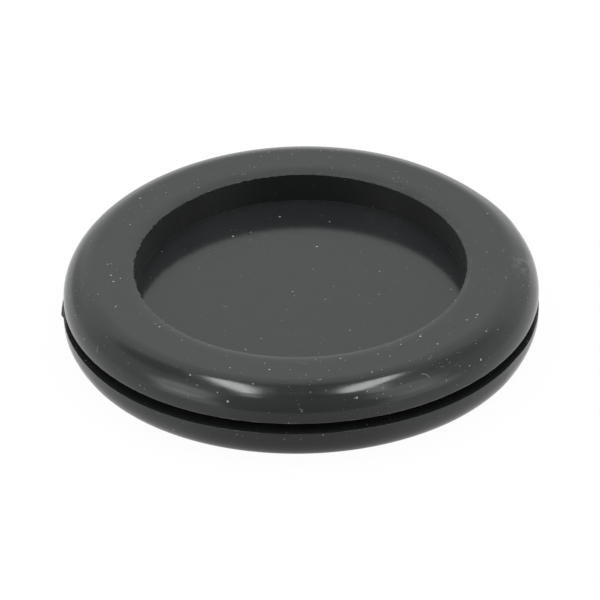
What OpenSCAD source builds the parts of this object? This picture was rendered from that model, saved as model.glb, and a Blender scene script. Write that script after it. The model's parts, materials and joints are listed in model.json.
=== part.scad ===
// Closed (blind) rubber grommet: a round moulding with a groove round its edge
// that holds the rim of a panel hole, and a membrane that shuts the hole.
// The section is the same above and below the middle of the groove.
// Origin: centre of the underside. +Z: the moulding's axis, up.

/* [Panel] */
// Diameter of the panel hole, which is the floor of the groove
hole_d = 50; // [30:0.5:80]
// Width of the groove, which is the panel's thickness
panel_t = 1.5; // [0.8:0.1:4]

/* [Flanges] */
// How far each flange reaches past the panel hole
lip_w = 5; // [4.5:0.1:8]
// Thickness of each flange
flange_t = 4.7; // [3:0.1:8]
// Radius of the rounded shoulder round the outside of each flange
shoulder_r = 3.9; // [0.5:0.1:4.5]
// Radius that takes the sharp edge off each lip of the groove
lip_r = 0.2; // [0.05:0.05:0.5]

/* [Recesses] */
// Wall between the groove and the mouth of each recess
sleeve_t = 3.9; // [2:0.1:8]
// How much wider each recess is at its floor than at its mouth, on the radius
undercut = 0.3; // [0:0.05:0.8]
// Radius of the edge round the mouth of each recess
mouth_r = 0.2; // [0.1:0.05:1]
// Radius of the corner between the wall and the floor of each recess
crease_r = 0.1; // [0.05:0.05:1]
// Thickness of the membrane between the two recesses
membrane_t = 2; // [0.8:0.1:2.5]

/* [Flash] */
// How far the tag of moulding flash stands out past the lower flange
flash_out = 0.4; // [0.1:0.05:0.8]
// Length of the tag along the flange's edge
flash_len = 4; // [3:0.5:12]
// Thickness of the tag
flash_t = 0.35; // [0.2:0.05:0.6]
// How far the tag's tip is from its middle, along the edge
flash_lean = 1.4; // [0:0.1:1.5]
// Direction of the tag's middle, in degrees from +X
flash_az = 180; // [0:1:359]

/* [Hidden] */
$fn = 180;
overcut = 1;
rubber_colour = [0.19, 0.195, 0.2];
outer_r = hole_d / 2 + lip_w;
mouth_radius = hole_d / 2 - sleeve_t;
floor_radius = mouth_radius + undercut;
mid_z = flange_t + panel_t / 2;
groove_z = panel_t / 2;
top_z = groove_z + flange_t;
floor_z = membrane_t / 2;
shoulder_fit = min(shoulder_r, flange_t - lip_r, lip_w + sleeve_t - mouth_r);

// The waste outside a rounded corner at the origin, solid towards -X and -Y
module corner_waste(r) {
    difference() {
        translate([-r, -r]) square(r + overcut);
        translate([-r, -r]) circle(r);
    }
}

// Half a section of one flange: X is the radius, Y the height above mid-groove
module flange_section() {
    difference() {
        translate([0, groove_z]) square([outer_r, flange_t]);
        translate([outer_r, top_z]) corner_waste(shoulder_fit);
        translate([outer_r, groove_z]) mirror([0, 1]) corner_waste(lip_r);
    }
}

// Half a section of the space in one recess, with a rounded mouth and crease
module recess_section() {
    difference() {
        union() {
            polygon([
                [0, floor_z], [floor_radius, floor_z], [mouth_radius, top_z - mouth_r],
                [mouth_radius, top_z + overcut], [0, top_z + overcut]
            ]);
            translate([mouth_radius, top_z]) mirror([1, 0]) corner_waste(mouth_r);
        }
        translate([floor_radius, floor_z]) mirror([0, 1]) corner_waste(crease_r);
    }
}

// Half a section of everything above the middle of the groove
module upper_section() {
    difference() {
        union() {
            flange_section();
            square([hole_d / 2, top_z / 2]);
        }
        recess_section();
    }
}

module ring_body() {
    translate([0, 0, mid_z]) rotate_extrude() {
        upper_section();
        mirror([0, 1]) upper_section();
    }
}

// A three-cornered tag in the plane of the lower flange's upper face
module flash_tag() {
    root_r = outer_r - lip_w / 2;
    half_len = flash_len / 2;
    chord_r = sqrt(pow(outer_r, 2) - pow(half_len, 2));
    rotate([0, 0, flash_az])
        translate([0, 0, flange_t - lip_r - flash_t])
        linear_extrude(flash_t)
        polygon([[root_r, -half_len], [chord_r, -half_len], [outer_r + flash_out, flash_lean],
                 [chord_r, half_len], [root_r, half_len]]);
}

module grommet() {
    color(rubber_colour) union() {
        ring_body();
        flash_tag();
    }
}

grommet();
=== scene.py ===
"""Looks of a closed rubber grommet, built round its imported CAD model.

One moulded piece: a finely turned mesh stands for the CAD solid, in a dark
semi-gloss rubber with a little dust, on a plain white studio floor.
"""
import json
import math
from random import Random

import bmesh
import bpy
from mathutils import Matrix, Vector, noise


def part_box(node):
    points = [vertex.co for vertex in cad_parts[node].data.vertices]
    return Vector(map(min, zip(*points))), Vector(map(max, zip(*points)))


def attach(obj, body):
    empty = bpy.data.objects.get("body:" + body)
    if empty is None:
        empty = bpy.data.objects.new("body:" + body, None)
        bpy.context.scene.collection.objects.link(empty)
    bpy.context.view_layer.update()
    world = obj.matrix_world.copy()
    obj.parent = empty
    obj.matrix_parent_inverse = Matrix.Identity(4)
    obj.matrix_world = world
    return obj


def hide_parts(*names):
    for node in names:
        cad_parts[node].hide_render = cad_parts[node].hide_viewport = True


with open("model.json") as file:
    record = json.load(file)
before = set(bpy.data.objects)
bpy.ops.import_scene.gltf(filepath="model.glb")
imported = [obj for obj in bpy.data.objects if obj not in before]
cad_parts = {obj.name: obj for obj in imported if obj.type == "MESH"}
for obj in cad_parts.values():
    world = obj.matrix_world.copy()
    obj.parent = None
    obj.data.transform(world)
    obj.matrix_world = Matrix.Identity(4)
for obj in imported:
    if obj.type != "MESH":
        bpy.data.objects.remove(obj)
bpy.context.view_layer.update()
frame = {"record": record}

MM = 0.001

# --- sizes: from the frame where it gives them, and else close to those of the part's source ---
NODE_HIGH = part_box("grommet")[1]
GROOVE = next(m for m in frame["record"]["mounts"] if m["name"] == "panel_groove")
HOLE_R = GROOVE["dims"]["r_mm"] * MM
OUTER_R = NODE_HIGH[1]
SHOULDER_R = 3.87 * MM
LIP_R = 0.2 * MM
MOUTH_RADIUS = HOLE_R - 3.96 * MM
FLOOR_RADIUS = MOUTH_RADIUS + 0.26 * MM
MOUTH_R = 0.07 * MM
GROOVE_ROOT_R = 0.1 * MM

# --- the moulding is slightly bowed: it droops towards its left and right sides --------------
BOW = 0.483 * MM
GROOVE_GAP = 1.446 * MM
TOP_T = 4.298 * MM
RECESS_DEPTH = 4.34 * MM
# how far below mid-groove the underside's recess floor lies
BOTTOM_FLOOR = 1.0 * MM
# how much less the top's recess floor is bowed, as a share
FLATTER_FLOOR = 0.5
# how far the flat faces droop at their outer edge, and so how high the middle stands
BOW_LIFT = BOW * ((OUTER_R - SHOULDER_R) / OUTER_R) ** 2
# kept free under and over the moulding, inside the CAD box
MARGIN = 0.005 * MM
BOTTOM_T = NODE_HIGH[2] - 2 * MARGIN - BOW_LIFT - GROOVE_GAP - TOP_T
GROOVE_Z = BOW_LIFT + MARGIN + BOTTOM_T + GROOVE_GAP / 2

# --- flash left where the mould halves met, on the lower flange's upper edge -----------------
# a thin fin all round, and one tag on the left; the tag's directions are in degrees
FIN = 0.05 * MM
FIN_T = 0.16 * MM
FIN_R = 0.04 * MM
FIN_AT_FRONT = 0.5
TAG_START, TAG_TIP, TAG_END = 173.8, 182.4, 183.6
TAG_OUT = 0.25 * MM

# --- the mouth lies a little to the front, and is drawn in at its back corners and on its right --
MOUTH_SHIFT = -0.19 * MM
MOUTH_OVAL = -0.14 * MM
MOUTH_RIGHT = -0.08 * MM

# --- the groove gapes on the left: how far its lower lip has dropped, and how far down that goes --
GAPE = 0.09 * MM
GAPE_DEPTH = 2.0 * MM

# --- the groove's lower lip sags on the right: how far, how far down, and where, in degrees -------
SAG = 0.65 * MM
SAG_DEPTH = 3.0 * MM
SAG_AT, SAG_REACH = -14, 13

# --- the flanges are a little out of round: direction and reach in degrees, amount in mm -------
UPPER_OUT_OF_ROUND = ((48, 14, -0.1), (28, 8, 0.09))
LOWER_OUT_OF_ROUND = (
    (-19, 12, -0.11), (-50, 14, 0.05), (-132, 30, 0.1), (-168, 14, 0.07), (-178, 18, 0.07),
)

# --- the flat face sinks a little towards the mouth: more, and from further off, at the back --
ROLL_WIDTH = 1.8 * MM
ROLL_DROP = 0.1 * MM
BACK_ROLL_DROP = 0.22 * MM

# --- the mouth's edge is a little ragged, and the groove's lips a little rough -----------------
RAGGED = 0.3 * MM
RAGGED_LIP = 0.035 * MM
RAGGED_PITCH = 0.7 * MM
RAGGED_REACH = 0.4 * MM

# --- dust strewn on the upper side from a seed, besides the scattered grains; lengths in mm ------
DUST_SEED = 5
SPECK_COUNT = 40
SPECK_SIZE = (0.08, 0.16)
FIBRE_COUNT = 10
FIBRE_LENGTH = (0.5, 1.5)
FIBRE_BEND = (0.5, 3.0)
FIBRE_STRENGTH = (0.15, 0.4)
FIBRE_WIDTH = 0.05
SHARE_IN_RECESS = 0.15
# where the scattered grains lie thicker: direction in degrees, distance and reach in mm, amount
DUSTY_PLACES = ((-10, 29, 4, 0.9), (-50, 28, 4, 0.7), (-90, 28, 3, 0.6), (-150, 29, 2, 0.8))
# where dust has been rubbed into a pale smear, in the same way
SMEARS = ((0, 29, 4, 0.9),)

# --- the rubber's colours, with painted shade in the recess wall's middle and painted light at its sides, and how strongly dust, wear and painted highlights lie over it ---
RUBBER_DARK = (0.0147, 0.0157, 0.0168, 1)
RUBBER_PALE = (0.0168, 0.0178, 0.0189, 1)
# the recess wall's colour: painted shade in its middle, painted light at its left and right
WALL_MIDDLE_PAINTED_SHADE = (0.0145, 0.0155, 0.0155, 1)
WALL_SIDES_PAINTED_LIGHT = (0.0245, 0.0255, 0.025, 1)
# also the colour of the painted highlights on the mouth's edge and the upper lip
DUST_AND_HIGHLIGHT_COLOUR = (0.5, 0.5, 0.48, 1)
FILM_COVER = 0.009
SPOT_COVER = 0.75
# how strongly the mouth's wear and its painted highlight show
WEAR_AND_HIGHLIGHT_COVER = 0.052
# how strongly the painted highlight on the upper lip shows
LIP_HIGHLIGHT_COVER = 0.15
SMEAR_COVER = 0.1

# --- its roughness, what the wall, the torn edge and dust add to that, and its relief in mm ------
ROUGHNESS = (0.13, 0.17)
WALL_DULL = 0.2
TORN_DULL = 0.3
DUST_DULL = 0.6
RUBBER_IOR = 1.5
REFLECTION_TINT = (0.95, 0.99, 0.965, 1)
GRAIN_RELIEF = 0.0005
SWELL_RELIEF = 0.004

# --- the floor: its paper as the light meets it and as the camera sees it, and its size ----------
WHITE = (1, 1, 1, 1)
PAPER_IN_LIGHT = (0.33, 0.32, 0.28, 1)
PAPER_IN_VIEW = (0.85, 0.85, 0.85, 1)
WHITE_IN_VIEW = 0.97
FLOOR_HALF = 4.0

# --- camera: angles in degrees, distance in metres, lens and sensor in mm ------------------------
CAM_ELEVATION = 33.45
CAM_ROLL = 1.132
CAM_DISTANCE = 1.2
CAM_REACH = 20
LENS = 570.384
SENSOR = 36.0
AIM_LEFT = 0.1641 * MM
AIM_DOWN = 0.5239 * MM

# --- the tent: how bright it is, and how bright the glow low behind the object's right -----------
TENT_STRENGTH = 0.95
RIGHT_GLOW = 0.3

# --- darker places in the tent: where each lies, the cosines where it starts and is full, and
# how much it takes away
GAPS = (
    ((-0.554, 0.228, 0.801), 0.94, 0.99, 0.4),
    ((0.662, 0.221, 0.716), 0.94, 0.99, 0.15),
    ((0.0, 0.1, 1.0), 0.95, 0.985, 0.3),
    ((0.0, -0.35, 0.94), 0.94, 0.98, 0.12),
    ((-0.57, 0.82, 0.05), 0.93, 0.985, 0.25),
    ((0.57, 0.82, 0.05), 0.93, 0.985, 0.1),
)

# --- soft fills in the tent's sides: where each lies, the cosines where it starts and is full,
# and how much it adds
FILLS = (
    ((-0.786, -0.436, 0.438), 0.945, 0.985, 1.5),
    ((-0.661, -0.369, 0.653), 0.96, 0.99, 0.35),
    ((-0.81, -0.58, 0.08), 0.93, 0.985, 1.1),
    ((0.69, -0.51, 0.515), 0.935, 0.99, 1.2),
    ((0.565, -0.274, 0.778), 0.965, 0.99, 0.3),
    ((0.83, -0.554, 0.06), 0.91, 0.985, 0.9),
)

# --- overhead lamps: name, centre in metres, direction of the long side, length and width in
# metres, radiance and shape
LAMPS = (
    ("overhead_left", (-0.3, -0.04, 1.0), (-0.07, -0.7, 0), 0.75, 0.166, 10.0, "ELLIPSE"),
    ("overhead_left_end", (-0.38, -0.51, 1.0), (-0.064, -0.286, 0), 0.36, 0.15, 2.8, "RECTANGLE"),
    ("overhead_right", (0.29, -0.095, 1.0), (-0.02, -0.61, 0), 0.72, 0.2, 8.9, "ELLIPSE"),
    ("overhead_right_end", (0.51, -0.46, 1.0), (0.215, -0.398, 0), 0.5, 0.18, 1.9, "RECTANGLE"),
)

# --- the mesh: steps round the axis, how close rings hold an edge, and the sharpest smooth angle --
SEGMENTS = 500
EDGE_HOLD = 0.04 * MM
SHARPEST = 65.0


def arc(centre, radius, start, end, steps):
    """Points on an arc in the (radius, height) plane; angles in degrees, 0 outwards, 90 up."""
    points = []
    for i in range(steps + 1):
        a = math.radians(start + (end - start) * i / steps)
        points.append((centre[0] + radius * math.cos(a), centre[1] + radius * math.sin(a)))
    return points


def line(start, end, steps):
    """Points from start towards end, without either, the outer ones close to the ends."""
    close = EDGE_HOLD / math.dist(start, end)
    shares = [close] + [i / steps for i in range(1, steps)] + [1 - close]
    return [(start[0] + (end[0] - start[0]) * t, start[1] + (end[1] - start[1]) * t) for t in shares]


def half_outline(lip, top, floor, lip_edge):
    """One half of the section, heights from mid-groove, from the axis round to the groove.

    lip_edge holds the points from the flange's side round its lip to the groove's face.
    """
    crease = (FLOOR_RADIUS, floor)
    mouth = arc((MOUTH_RADIUS + MOUTH_R, top - MOUTH_R), MOUTH_R, 184, 90, 8)
    rolled = mouth[-1][0] + ROLL_WIDTH
    side = lip_edge[0][0]
    shoulder = arc((side - SHOULDER_R, top - SHOULDER_R), SHOULDER_R, 90, 0, 30)
    root = arc((HOLE_R + GROOVE_ROOT_R, lip - GROOVE_ROOT_R), GROOVE_ROOT_R, 90, 180, 3)
    outline = [(0.0, floor)]
    outline += line((0.0, floor), crease, 8) + [crease]
    outline += line(crease, mouth[0], 5) + mouth
    outline += line(mouth[-1], (rolled, top), 9)
    outline += line((rolled, top), shoulder[0], 5) + shoulder
    outline += line(shoulder[-1], lip_edge[0], 4) + lip_edge
    outline += line(lip_edge[-1], root[0], 5) + root
    return outline


def round_lip(lip):
    """The upper flange's lip, with its sharp edge taken off."""
    return arc((OUTER_R - LIP_R, lip + LIP_R), LIP_R, 0, -90, 6)


def finned_lip(lip):
    """The lower flange's lip: a thin fin stands out past its side."""
    side = OUTER_R - FIN
    below = arc((OUTER_R - FIN_R, lip + FIN_T - FIN_R), FIN_R, 90, 0, 3)
    above = arc((OUTER_R - FIN_R, lip + FIN_R), FIN_R, 0, -90, 3)
    return [(side, lip + 2 * FIN_T), (side, lip + FIN_T + FIN_R)] + below + above


def fin_growth(r, z, azimuth):
    """How far a point of the fin stands further out, or less far, than on the fin's circle."""
    if r < OUTER_R - FIN_R * 1.01 or not -FIN_T * 1.01 <= z + GROOVE_GAP / 2 <= 0:
        return 0.0
    sideways = abs(math.cos(azimuth))
    growth = -FIN * (1 - FIN_AT_FRONT) * (1 - sideways)
    direction = math.degrees(azimuth) % 360
    if TAG_START < direction <= TAG_TIP:
        growth += TAG_OUT * ((direction - TAG_START) / (TAG_TIP - TAG_START)) ** 0.4
    elif TAG_TIP < direction < TAG_END:
        growth += TAG_OUT * (TAG_END - direction) / (TAG_END - TAG_TIP)
    return growth


def share_out(r):
    """How far out on a flange a radius lies: 0 at the groove's root, 1 at the flange's side."""
    return max(0.0, (r - HOLE_R) / (OUTER_R - HOLE_R))


def out_of_round(r, z, azimuth):
    """How far a flange's side stands out past its circle."""
    growth = 0.0
    for direction, reach, amount in UPPER_OUT_OF_ROUND if z > 0 else LOWER_OUT_OF_ROUND:
        away = (math.degrees(azimuth) - direction + 180) % 360 - 180
        growth += amount * MM * max(0.0, 1 - (away / reach) ** 2)
    return growth * share_out(r)


def mouth_moved(r, z, azimuth):
    """How far a point near the upper mouth is moved, outwards and in Y."""
    near = max(0.0, 1 - math.dist((r, z), (MOUTH_RADIUS, GROOVE_GAP / 2 + TOP_T)) / RECESS_DEPTH)
    outwards = MOUTH_OVAL * max(0.0, math.sin(azimuth)) * abs(math.cos(azimuth))
    outwards += MOUTH_RIGHT * max(0.0, math.cos(azimuth)) ** 3
    return outwards * near, MOUTH_SHIFT * near


def gape(r, z, azimuth):
    """How far the lower flange's lip has dropped."""
    below = -z - GROOVE_GAP / 2
    if z > 0 or below > GAPE_DEPTH:
        return 0.0
    return GAPE * max(0.0, -math.cos(azimuth)) * share_out(r) * (1 - below / GAPE_DEPTH)


def sag(r, z, azimuth):
    """How far the groove's lower lip has sagged."""
    if z > 0:
        return 0.0
    away = (math.degrees(azimuth) - SAG_AT + 180) % 360 - 180
    near = max(0.0, 1 - (away / SAG_REACH) ** 2) * max(0.0, 1 - abs(z) / SAG_DEPTH)
    return SAG * near * share_out(r)


def roll_drop(r, z, azimuth):
    """How far a flange's flat face has sunk at this point, near the mouth."""
    face = GROOVE_GAP / 2 + (TOP_T if z > 0 else BOTTOM_T)
    if r > MOUTH_RADIUS + MOUTH_R + ROLL_WIDTH or abs(z) < face - 2 * MOUTH_R:
        return 0.0
    near = min(1.0, 1 - (r - MOUTH_RADIUS - MOUTH_R) / ROLL_WIDTH)
    back = max(0.0, math.sin(azimuth))
    drop = ROLL_DROP * near ** 3 * (1 - back) + BACK_ROLL_DROP * near ** 2 * back
    return drop if z > 0 else -drop


def ragged_growth(r, z, azimuth):
    """Small in and out of the upper mouth's edge and of the groove's two lips."""
    mouth = 1 - math.dist((r, z), (MOUTH_RADIUS, GROOVE_GAP / 2 + TOP_T)) / RAGGED_REACH
    lip = 1 - math.dist((r, abs(z)), (OUTER_R, GROOVE_GAP / 2)) / RAGGED_REACH
    reach = max(0.0, mouth, lip)
    if reach == 0.0:
        return 0.0
    around = Vector((math.cos(azimuth) * OUTER_R, math.sin(azimuth) * OUTER_R, z)) / RAGGED_PITCH
    rough = noise.noise(around) + 0.5 * noise.noise(around * 2.7)
    if lip > 0:
        return RAGGED_LIP * min(0.0, rough - 0.5) * reach
    leftwards = 0.35 + 0.65 * max(0.0, -math.cos(azimuth))
    return RAGGED * leftwards * rough * reach


def flatter(r, z):
    """How much less the recess's wall and floor are bowed than the flanges."""
    below = (GROOVE_GAP / 2 + TOP_T - z) / RECESS_DEPTH
    return FLATTER_FLOOR * max(0.0, below) if r <= FLOOR_RADIUS and z > 0 else 0.0


def placed(r, z, azimuth):
    """A point of the section in the frame, with its small faults and the bow."""
    outwards, moved_y = mouth_moved(r, z, azimuth)
    grown = r + outwards + fin_growth(r, z, azimuth) + ragged_growth(r, z, azimuth)
    grown += out_of_round(r, z, azimuth)
    bowed = BOW * (r * math.cos(azimuth) / OUTER_R) ** 2 * (1 - flatter(r, z))
    height = GROOVE_Z + z - roll_drop(r, z, azimuth) - gape(r, z, azimuth) - sag(r, z, azimuth) - bowed
    return grown * math.cos(azimuth), grown * math.sin(azimuth) + moved_y, height


def turned_mesh():
    """The whole moulding, turned about Z and closed at both poles."""
    lip = GROOVE_GAP / 2
    upper = half_outline(lip, lip + TOP_T, lip + TOP_T - RECESS_DEPTH, round_lip(lip))
    lower = half_outline(lip, lip + BOTTOM_T, BOTTOM_FLOOR, finned_lip(lip))
    outline = upper + [(r, -z) for r, z in reversed(lower)]
    bm = bmesh.new()
    rings = []
    for r, z in outline:
        if r == 0.0:
            rings.append([bm.verts.new((0.0, 0.0, GROOVE_Z + z))])
            continue
        turn = 2 * math.pi / SEGMENTS
        rings.append([bm.verts.new(placed(r, z, turn * i)) for i in range(SEGMENTS)])
    for inner, outer in zip(rings, rings[1:]):
        for i in range(SEGMENTS):
            j = (i + 1) % SEGMENTS
            if len(inner) == 1:
                bm.faces.new((inner[0], outer[i], outer[j]))
            elif len(outer) == 1:
                bm.faces.new((inner[i], outer[0], inner[j]))
            else:
                bm.faces.new((inner[i], outer[i], outer[j], inner[j]))
    bmesh.ops.recalc_face_normals(bm, faces=bm.faces)
    mesh = bpy.data.meshes.new("grommet_skin")
    bm.to_mesh(mesh)
    bm.free()
    mesh.shade_smooth()
    mesh.set_sharp_from_angle(angle=math.radians(SHARPEST))
    return mesh


class Tree:
    """Short ways to add nodes to one node tree."""

    def __init__(self, tree):
        self.nodes = tree.nodes
        self.links = tree.links

    def put(self, value, socket):
        """Give an input a number, a vector or another node's output."""
        if isinstance(value, bpy.types.NodeSocket):
            self.links.new(value, socket)
        else:
            socket.default_value = value

    def add(self, kind, **settings):
        """A new shader node of this kind, with these settings."""
        node = self.nodes.new("ShaderNode" + kind)
        for name, value in settings.items():
            setattr(node, name, value)
        return node

    def math(self, operation, *values):
        """The output of one Math node."""
        node = self.add("Math", operation=operation)
        for value, socket in zip(values, node.inputs):
            self.put(value, socket)
        return node.outputs[0]

    def product(self, *values):
        """All the values multiplied together."""
        result = values[0]
        for value in values[1:]:
            result = self.math("MULTIPLY", result, value)
        return result

    def vector(self, operation, *values):
        """The output of one Vector Math node."""
        node = self.add("VectorMath", operation=operation)
        for value, socket in zip(values, node.inputs):
            self.put(value, socket)
        return node.outputs["Value" if operation in ("LENGTH", "DISTANCE", "DOT_PRODUCT") else "Vector"]

    def step(self, value, start, end, low=0.0, high=1.0):
        """A smooth step of value, from low at start to high at end."""
        node = self.add("MapRange", interpolation_type="SMOOTHSTEP")
        for name, number in (("Value", value), ("From Min", start), ("From Max", end)):
            self.put(number, node.inputs[name])
        self.put(low, node.inputs["To Min"])
        self.put(high, node.inputs["To Max"])
        return node.outputs[0]

    def noise(self, where, scale, detail, seed):
        """Noise about 0.5; each seed gives another part of it."""
        node = self.add("TexNoise", noise_dimensions="3D")
        away = self.vector("ADD", where, (31.7 * seed, 17.3 * seed, 0))
        for name, value in (("Vector", away), ("Scale", scale), ("Detail", detail)):
            self.put(value, node.inputs[name])
        return node.outputs["Fac"]

    def patches(self, where, scale, detail, seed, start, end, low=0.0, high=1.0):
        """Soft-edged patches: noise with a smooth step from low to high."""
        return self.step(self.noise(where, scale, detail, seed), start, end, low, high)

    def band(self, value, middle, edge, core):
        """1 where value is within core of middle, and 0 beyond edge from it."""
        return self.step(self.math("ABSOLUTE", self.math("SUBTRACT", value, middle)), edge, core)

    def xyz(self, vector):
        """The three outputs of a vector."""
        node = self.add("SeparateXYZ")
        self.put(vector, node.inputs[0])
        return node.outputs["X"], node.outputs["Y"], node.outputs["Z"]

    def mixed(self, share, first, second):
        """A colour between first, at 0, and second, at 1."""
        node = self.add("Mix", data_type="RGBA")
        self.put(share, node.inputs["Factor"])
        self.put(first, node.inputs[6])
        self.put(second, node.inputs[7])
        return node.outputs[2]


def new_material(name):
    """An empty node material, and the short ways to fill it."""
    material = bpy.data.materials.new(name)
    material.use_nodes = True
    material.node_tree.nodes.clear()
    return material, Tree(material.node_tree)


def grains(tree, where, pitch, small, large, share):
    """Scattered grains of dust, one at most in each cell; share is how many cells hold one."""
    cells = tree.add("TexVoronoi", voronoi_dimensions="3D", feature="F1")
    tree.put(where, cells.inputs["Vector"])
    tree.put(1 / pitch, cells.inputs["Scale"])
    chance = tree.add("SeparateColor")
    tree.put(cells.outputs["Color"], chance.inputs[0])
    size = tree.math("MULTIPLY_ADD", chance.outputs["Red"], (large - small) / pitch, small / pitch)
    core = tree.math("MULTIPLY", size, 0.4)
    grain = tree.step(cells.outputs["Distance"], size, core)
    present = tree.math("LESS_THAN", chance.outputs["Green"], share)
    strength = tree.math("MULTIPLY_ADD", tree.math("POWER", chance.outputs["Blue"], 2.0), 0.8, 0.2)
    return tree.product(grain, present, strength)


def hairs(tree, where, pitch, bend, length, width, share):
    """Short curved fibres lying on the surface, one at most in each square cell."""
    cells = tree.add("TexVoronoi", voronoi_dimensions="2D", feature="F1")
    tree.put(where, cells.inputs["Vector"])
    tree.put(1 / pitch, cells.inputs["Scale"])
    chance = tree.add("SeparateColor")
    tree.put(cells.outputs["Color"], chance.inputs[0])
    flat = tree.vector("MULTIPLY", where, (1, 1, 0))
    centre = tree.vector("MULTIPLY", cells.outputs["Position"], (pitch, pitch, 0))
    turn = tree.add("VectorRotate", rotation_type="Z_AXIS")
    tree.put(tree.vector("SUBTRACT", flat, centre), turn.inputs["Vector"])
    tree.put(tree.math("MULTIPLY", chance.outputs["Red"], 2 * math.pi), turn.inputs["Angle"])
    x, y, _ = tree.xyz(turn.outputs[0])
    ring = tree.vector("DISTANCE", turn.outputs[0], (bend, 0, 0))
    off_line = tree.math("ABSOLUTE", tree.math("SUBTRACT", ring, bend))
    along = tree.math("ABSOLUTE", y)
    hair = tree.product(
        tree.step(off_line, width, width * 0.3),
        tree.step(along, length / 2, length / 2 * 0.8),
        tree.math("LESS_THAN", x, bend),
    )
    present = tree.math("LESS_THAN", chance.outputs["Green"], share)
    return tree.product(hair, present)


class Surface:
    """What the rubber's nodes know of a point: where it lies, in mm, and how it faces."""

    def __init__(self, tree):
        self.where = tree.vector("SCALE", tree.add("TexCoord").outputs["Object"])
        self.where.node.inputs["Scale"].default_value = 1 / MM
        self.x, _, z = tree.xyz(self.where)
        self.slope = tree.xyz(tree.add("NewGeometry").outputs["Normal"])[2]
        self.up = tree.step(self.slope, 0.2, 0.9)
        self.radius = tree.vector("LENGTH", tree.vector("MULTIPLY", self.where, (1, 1, 0)))
        self.past_mouth = tree.math("SUBTRACT", self.radius, MOUTH_RADIUS / MM)
        on_rim = tree.step(self.radius, MOUTH_RADIUS / MM - 0.1, MOUTH_RADIUS / MM + 0.3)
        self.less_in_recess = tree.step(on_rim, 0, 1, 0.6, 1.0)
        bowed = tree.product(self.x, self.x, BOW * MM / OUTER_R ** 2)
        self.height = tree.math("SUBTRACT", tree.math("ADD", z, bowed), GROOVE_Z / MM)


def dust_film(tree, at, mottle):
    """The thin film of dust on what faces up, thicker on the left and outside the recess."""
    return tree.product(
        at.up,
        at.less_in_recess,
        tree.step(mottle, 0.3, 0.7, 0.6, 1.0),
        tree.step(at.x, -28, 28, 1.3, 0.7),
    )


def dust_spots(tree, at):
    """Grains and fibres of dust, scattered and strewn."""
    dusty = tree.patches(at.where, 0.11, 3.0, 1.0, 0.42, 0.68)
    share = tree.math("MULTIPLY_ADD", dusty, 0.35, tree.step(at.x, -5, 20, 0.1, 0.2))
    thick = thick_places(tree, at.where, DUSTY_PLACES)
    share = tree.math("ADD", tree.product(share, at.less_in_recess), thick)
    tangle = tree.add("TexNoise", noise_dimensions="3D")
    tree.put(at.where, tangle.inputs["Vector"])
    tree.put(7.0, tangle.inputs["Scale"])
    shaken = tree.vector("MULTIPLY_ADD", tangle.outputs["Color"], (0.16, 0.16, 0.16), at.where)
    coarse = grains(tree, shaken, 1.0, 0.08, 0.17, share)
    fine = grains(tree, shaken, 0.5, 0.06, 0.11, share)
    long_fibres = tree.product(hairs(tree, at.where, 7.0, 1.1, 1.6, 0.05, 0.25), 0.25)
    short_fibres = tree.product(hairs(tree, at.where, 2.3, 0.6, 0.6, 0.07, share), 0.16)
    fibres = tree.product(tree.math("MAXIMUM", long_fibres, short_fibres), at.up)
    spots = tree.math("MAXIMUM", tree.math("MAXIMUM", coarse, tree.product(fine, 0.7)), fibres)
    return tree.math("MAXIMUM", spots, strewn_dust(tree, shaken))


def smeared(tree, at):
    """Streaky pale smears, where dust has been rubbed in."""
    streaks = tree.patches(at.where, 1.3, 5.0, 9.0, 0.38, 0.62)
    return tree.product(thick_places(tree, at.where, SMEARS), streaks)


def mouth_wear_and_highlight(tree, at):
    """The mouth's edge: a patchy line of burr, partly a painted highlight of the edge, with a scored
    line beside it on the right.
    """
    # partly wear and partly a painted highlight of the mouth's edge, stronger on the right
    burr_and_highlight = tree.product(
        tree.band(at.past_mouth, 0.13, 0.12, 0.04),
        tree.patches(at.where, 1.6, 3.0, 3.0, 0.35, 0.65),
        tree.patches(at.where, 0.3, 2.0, 11.0, 0.4, 0.55, 0.25, 1.0),
    )
    score = tree.product(
        tree.band(at.past_mouth, 0.44, 0.08, 0.03),
        tree.patches(at.where, 0.9, 2.0, 7.0, 0.45, 0.6),
        tree.step(at.x, 4, 14),
    )
    rightwards = tree.step(at.x, -20, 12, 0.5, 1.0)
    wear_and_highlight = tree.math("MULTIPLY_ADD", score, 0.9, burr_and_highlight)
    return tree.product(wear_and_highlight, rightwards, at.up, tree.step(at.height, 3, 4))


def lip_painted_highlight(tree, at):
    """A painted highlight along the upper flange's lip, in patches."""
    above_lip = tree.math("SUBTRACT", at.height, GROOVE_GAP / 2 / MM)
    return tree.product(
        tree.band(above_lip, 0.12, 0.16, 0.04),
        tree.step(at.radius, OUTER_R / MM - 0.3, OUTER_R / MM - 0.15),
        tree.patches(at.where, 0.7, 3.0, 8.0, 0.35, 0.62),
    )


def recess_wall(tree, at):
    """1 on the steep wall of a recess."""
    in_recess = tree.step(at.radius, MOUTH_RADIUS / MM + 0.6, MOUTH_RADIUS / MM + 0.4)
    steep = tree.step(tree.math("ABSOLUTE", at.slope), 0.7, 0.4)
    return tree.product(in_recess, steep)


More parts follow.
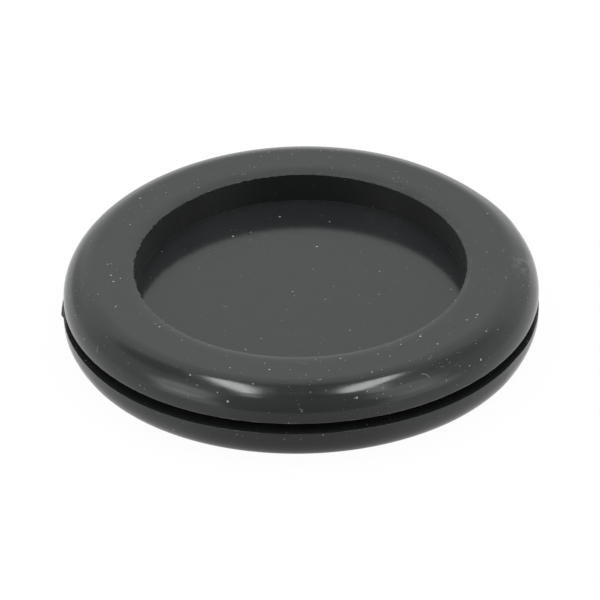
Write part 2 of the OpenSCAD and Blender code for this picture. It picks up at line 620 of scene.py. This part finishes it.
def rubber_colour(tree, at, wall, spots):
    """Near-black rubber under its dust, wear and painted highlights, with painted shade in the recess
    wall's middle and painted light on the wall's left and right.
    """
    mottle = tree.noise(at.where, 0.45, 4.0, 2.0)
    film = dust_film(tree, at, mottle)
    # dust, wear and painted highlights, all in one pale colour
    dust_and_highlight_cover = tree.math("MULTIPLY_ADD", film, FILM_COVER, tree.product(spots, SPOT_COVER))
    # wear and painted highlight on the mouth's edge
    dust_and_highlight_cover = tree.math("MAXIMUM", dust_and_highlight_cover, tree.product(mouth_wear_and_highlight(tree, at), WEAR_AND_HIGHLIGHT_COVER))
    # painted highlight along the upper flange's lip
    dust_and_highlight_cover = tree.math("MAXIMUM", dust_and_highlight_cover, tree.product(lip_painted_highlight(tree, at), LIP_HIGHLIGHT_COVER))
    dust_and_highlight_cover = tree.math("MAXIMUM", dust_and_highlight_cover, tree.product(smeared(tree, at), SMEAR_COVER))
    # painted light on the recess wall's left and right, painted shade in its middle
    sideways = tree.step(tree.math("ABSOLUTE", at.x), 5, 12)
    wall_painted_light_and_shade = tree.mixed(sideways, WALL_MIDDLE_PAINTED_SHADE, WALL_SIDES_PAINTED_LIGHT)
    rubber = tree.mixed(wall, tree.mixed(mottle, RUBBER_DARK, RUBBER_PALE), wall_painted_light_and_shade)
    return tree.mixed(dust_and_highlight_cover, rubber, DUST_AND_HIGHLIGHT_COLOUR)


def rubber_roughness(tree, at, wall, spots):
    """Semi-gloss, duller on the recess's wall, at the torn edge of the mouth and under dust."""
    rough = tree.patches(at.where, 0.8, 4.0, 4.0, 0.3, 0.7, *ROUGHNESS)
    torn = tree.product(
        tree.band(at.past_mouth, 0.0, 0.25, 0.1),
        tree.patches(at.where, 1.1, 3.0, 10.0, 0.3, 0.5),
        tree.step(at.slope, 0.05, 0.3),
    )
    rough = tree.math("MULTIPLY_ADD", wall, WALL_DULL, rough)
    rough = tree.math("MULTIPLY_ADD", torn, TORN_DULL, rough)
    return tree.math("MULTIPLY_ADD", spots, DUST_DULL, rough)


def rubber_relief(tree, at):
    """A very fine grain and a slow swell of the surface, as a bump."""
    grain = tree.product(tree.noise(at.where, 4.0, 3.0, 5.0), GRAIN_RELIEF)
    swell = tree.product(tree.noise(at.where, 0.25, 1.0, 6.0), SWELL_RELIEF)
    bump = tree.add("Bump")
    bump.inputs["Distance"].default_value = MM
    tree.put(tree.math("ADD", grain, swell), bump.inputs["Height"])
    return bump.outputs[0]


def rubber_material():
    """Dark moulded rubber, semi-gloss, with a thin film and grains of pale dust, painted highlights on
    the mouth's edge and the upper lip, and painted light and shade on the recess wall.
    """
    material, tree = new_material("rubber")
    at = Surface(tree)
    wall = recess_wall(tree, at)
    spots = dust_spots(tree, at)
    shader = tree.add("BsdfPrincipled")
    shader.inputs["IOR"].default_value = RUBBER_IOR
    shader.inputs["Specular Tint"].default_value = REFLECTION_TINT
    tree.put(rubber_colour(tree, at, wall, spots), shader.inputs["Base Color"])
    tree.put(rubber_roughness(tree, at, wall, spots), shader.inputs["Roughness"])
    tree.put(rubber_relief(tree, at), shader.inputs["Normal"])
    tree.put(shader.outputs[0], tree.add("OutputMaterial").inputs[0])
    return material


def floor_gloss_with_painted_shade(tree):
    """How white the floor shows in the object's gloss: painted shade in front of it, and a painted
    shadow close by.
    """
    spot = tree.add("TexCoord").outputs["Object"]
    x, y, _ = tree.xyz(tree.vector("NORMALIZE", spot))
    painted_shade_in_front = tree.step(y, -1.02, -0.8, 0.5, 1.0)
    slantwise = tree.math("ABSOLUTE", tree.product(x, y))
    painted_shadow_close_by = tree.step(slantwise, 0.3, 0.45, 0.93, 0.76)
    distance = tree.vector("LENGTH", spot)
    return tree.product(painted_shade_in_front, tree.step(distance, OUTER_R - MM, OUTER_R + 4 * MM, painted_shadow_close_by, 1.0))


def floor_material():
    """White paper that keeps the object's soft shadow."""
    material, tree = new_material("floor")
    path = tree.add("LightPath")
    seen = path.outputs["Is Camera Ray"]
    mirrored = tree.math("MAXIMUM", path.outputs["Is Glossy Ray"], path.outputs["Is Transmission Ray"])
    paper = tree.add("BsdfDiffuse")
    tree.put(tree.mixed(seen, PAPER_IN_LIGHT, PAPER_IN_VIEW), paper.inputs["Color"])
    white = tree.add("Emission")
    white.inputs["Color"].default_value = WHITE
    white.inputs["Strength"].default_value = 1.0
    mix = tree.add("MixShader")
    in_view = tree.product(seen, WHITE_IN_VIEW)
    # in the object's gloss the floor glows white, with painted shade in front and a painted shadow near
    # the object
    tree.put(tree.math("MULTIPLY_ADD", mirrored, floor_gloss_with_painted_shade(tree), in_view), mix.inputs["Fac"])
    tree.put(paper.outputs[0], mix.inputs[1])
    tree.put(white.outputs[0], mix.inputs[2])
    tree.put(mix.outputs[0], tree.add("OutputMaterial").inputs["Surface"])
    return material


def make_floor():
    """A floor far wider than the view."""
    mesh = bpy.data.meshes.new("studio_floor")
    corners = [(x * FLOOR_HALF, y * FLOOR_HALF, 0) for x, y in ((-1, -1), (1, -1), (1, 1), (-1, 1))]
    mesh.from_pydata(corners, [], [(0, 1, 2, 3)])
    floor = bpy.data.objects.new("studio_floor", mesh)
    floor.data.materials.append(floor_material())
    bpy.context.scene.collection.objects.link(floor)


def on_top(direction, distance):
    """The point of the upper side at this direction and distance from the axis, in mm."""
    z = GROOVE_GAP / 2 + TOP_T
    past_shoulder = distance * MM - (OUTER_R - SHOULDER_R)
    if distance * MM < MOUTH_RADIUS:
        z -= RECESS_DEPTH
    elif past_shoulder > 0:
        z -= SHOULDER_R - math.sqrt(SHOULDER_R ** 2 - past_shoulder ** 2)
    return Vector(placed(distance * MM, z, math.radians(direction))) / MM


def strewn(draw):
    """A random point of the upper side, in mm: some in the recess, the others on the front flange."""
    if draw.random() < SHARE_IN_RECESS:
        return on_top(draw.uniform(0, 360), 0.95 * MOUTH_RADIUS / MM * math.sqrt(draw.random()))
    inwards = (OUTER_R - MOUTH_RADIUS) / MM * draw.random() ** 2
    return on_top(draw.uniform(-180, 10), OUTER_R / MM - 0.4 - 0.9 * inwards)


def speck(tree, where, draw):
    """One round speck."""
    away = tree.vector("DISTANCE", where, strewn(draw))
    size = draw.uniform(*SPECK_SIZE)
    return tree.step(away, size * 1.25, size * 0.5, 0.0, min(1.0, size * 8))


def fibre(tree, where, draw):
    """One fibre: a short arc about a point beside it."""
    middle = strewn(draw)
    side = math.radians(draw.uniform(0, 360))
    length = draw.uniform(*FIBRE_LENGTH)
    bend = draw.uniform(*FIBRE_BEND)
    strength = draw.uniform(*FIBRE_STRENGTH)
    centre = middle + bend * Vector((math.cos(side), math.sin(side), 0))
    off = tree.math("ABSOLUTE", tree.math("SUBTRACT", tree.vector("DISTANCE", where, centre), bend))
    along = tree.vector("DISTANCE", where, middle)
    return tree.product(
        tree.step(off, FIBRE_WIDTH, FIBRE_WIDTH * 0.3),
        tree.step(along, length / 2, length / 2 * 0.8, 0.0, strength),
    )


def strewn_dust(tree, where):
    """Single specks and curved fibres, laid on the upper side at random from the seed."""
    draw = Random(DUST_SEED)
    dust = 0.0
    for _ in range(SPECK_COUNT):
        dust = tree.math("MAXIMUM", dust, speck(tree, where, draw))
    for _ in range(FIBRE_COUNT):
        dust = tree.math("MAXIMUM", dust, fibre(tree, where, draw))
    return dust


def thick_places(tree, where, places):
    """How thick the dust lies, from a list of places where it is thicker."""
    total = 0.0
    for direction, distance, reach, amount in places:
        away = tree.vector("DISTANCE", where, on_top(direction, distance))
        total = tree.math("MAXIMUM", total, tree.step(away, reach, reach * 0.3, 0.0, amount))
    return total


def sky_patch(tree, where, direction, cos_edge, cos_core, amount):
    """Amount inside a round patch of the sky about direction, fading to nothing at its edge."""
    towards = tree.vector("DOT_PRODUCT", where, Vector(direction).normalized())
    return tree.step(towards, cos_edge, cos_core, 0.0, amount)


def tent_darkness(tree, where, x, y):
    """How much darker the tent is: overhead, on the camera's side, at both sides, and in its gaps."""
    over = tree.step(y, 0.55, 0.3, 0.0, 0.4)
    front = tree.math("ADD", over, tree.step(y, 0.1, -0.5, 0.0, 0.22))
    squared = tree.product(x, x)
    dark = tree.product(front, tree.math("SUBTRACT", 1.0, squared))
    dark = tree.math("MULTIPLY_ADD", squared, 0.1, dark)
    for gap in GAPS:
        dark = tree.math("ADD", dark, sky_patch(tree, where, *gap))
    return dark


def tent_glow(tree, x, y, z):
    """How much brighter the tent is low behind the object, and more so on the right."""
    behind = tree.product(tree.step(y, -0.2, 0.3), tree.step(tree.product(x, x), 0.25, 0.03))
    low = tree.math("ADD", tree.step(z, 0.4, 0.0, 0.0, 0.25), tree.step(z, 0.1, 0.0, 0.0, 0.25))
    right = tree.product(behind, tree.step(x, -0.1, 0.15), tree.step(z, 0.5, 0.1))
    return tree.math("MULTIPLY_ADD", right, RIGHT_GLOW, tree.product(behind, low))


def make_world():
    """A white tent all round, darker on the camera's side, which the camera sees as plain white."""
    world = bpy.data.worlds.new("tent")
    bpy.context.scene.world = world
    world.use_nodes = True
    world.node_tree.nodes.clear()
    tree = Tree(world.node_tree)
    where = tree.add("TexCoord").outputs["Generated"]
    x, y, z = tree.xyz(where)
    strength = tree.math("SUBTRACT", TENT_STRENGTH, tent_darkness(tree, where, x, y))
    strength = tree.math("ADD", strength, tent_glow(tree, x, y, z))
    for fill in FILLS:
        strength = tree.math("ADD", strength, sky_patch(tree, where, *fill))
    light = tree.add("Background")
    light.inputs["Color"].default_value = WHITE
    tree.put(strength, light.inputs["Strength"])
    seen = tree.add("Background")
    seen.inputs["Color"].default_value = WHITE
    seen.inputs["Strength"].default_value = 1.0
    mix = tree.add("MixShader")
    tree.put(tree.add("LightPath").outputs["Is Camera Ray"], mix.inputs["Fac"])
    tree.put(light.outputs[0], mix.inputs[1])
    tree.put(seen.outputs[0], mix.inputs[2])
    tree.put(mix.outputs[0], tree.add("OutputWorld").inputs["Surface"])


def soft_box(name, centre, along, length, width, radiance, shape):
    """A flat lamp at centre, facing the object, with its long side near the given direction."""
    lamp = bpy.data.lights.new(name, "AREA")
    lamp.shape = shape
    lamp.size, lamp.size_y = length, width
    area = length * width * (math.pi / 4 if shape == "ELLIPSE" else 1)
    lamp.energy = radiance * math.pi * area
    box = bpy.data.objects.new(name, lamp)
    back = Vector(centre).normalized()
    side = Vector(along) - back * back.dot(Vector(along))
    side.normalize()
    up = back.cross(side)
    box.matrix_world = Matrix.Translation(centre) @ Matrix((side, up, back)).transposed().to_4x4()
    bpy.context.scene.collection.objects.link(box)


def make_camera():
    """A long lens in front of the object, looking down on it."""
    data = bpy.data.cameras.new("camera")
    data.sensor_width = SENSOR
    data.lens = LENS
    data.clip_end = CAM_REACH
    camera = bpy.data.objects.new("camera", data)
    e = math.radians(CAM_ELEVATION)
    back = Vector((0, -math.cos(e), math.sin(e)))
    right = Vector((1, 0, 0))
    up = back.cross(right)
    aim = Vector((0, 0, GROOVE_Z)) - right * AIM_LEFT - up * AIM_DOWN
    turn = Matrix((right, up, back)).transposed() @ Matrix.Rotation(math.radians(-CAM_ROLL), 3, "Z")
    camera.matrix_world = Matrix.Translation(aim + back * CAM_DISTANCE) @ turn.to_4x4()
    bpy.context.scene.collection.objects.link(camera)
    bpy.context.scene.camera = camera


make_camera()
make_world()
make_floor()
for lamp in LAMPS:
    soft_box(*lamp)

skin = bpy.data.objects.new("grommet_skin", turned_mesh())
bpy.context.scene.collection.objects.link(skin)
skin.data.materials.append(rubber_material())
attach(skin, "root")
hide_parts("grommet")

bpy.context.scene.view_settings.view_transform = "Standard"
